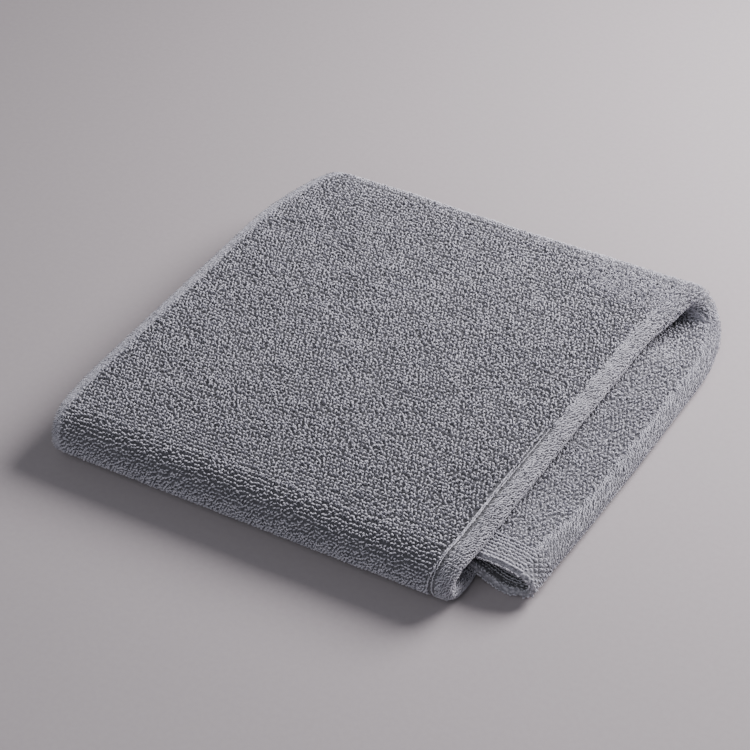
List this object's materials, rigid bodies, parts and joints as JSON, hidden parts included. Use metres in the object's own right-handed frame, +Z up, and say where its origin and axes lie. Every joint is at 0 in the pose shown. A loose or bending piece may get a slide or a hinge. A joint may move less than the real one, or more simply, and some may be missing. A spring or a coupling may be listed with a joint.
{
  "type": "folded terry hand towel",
  "caption": "Plush cotton terry hand towel, folded in half lengthwise and then in thirds, its loose inner flap run out to one side, lying flat as a low soft pile.",
  "frame": {"origin": "centre of the bounding box's base, on the surface the towel lies on", "axes": "+Z up through the pile, +Y from the rounded front fold to the rounded back fold, +X from the open side edges to the closed side fold"},
  "size_m": [0.2316, 0.241, 0.0289],
  "materials": {
    "terry": "plush looped cotton pile"
  },
  "bodies": {
    "root": {"towel": "terry"}
  },
  "joints": []
}
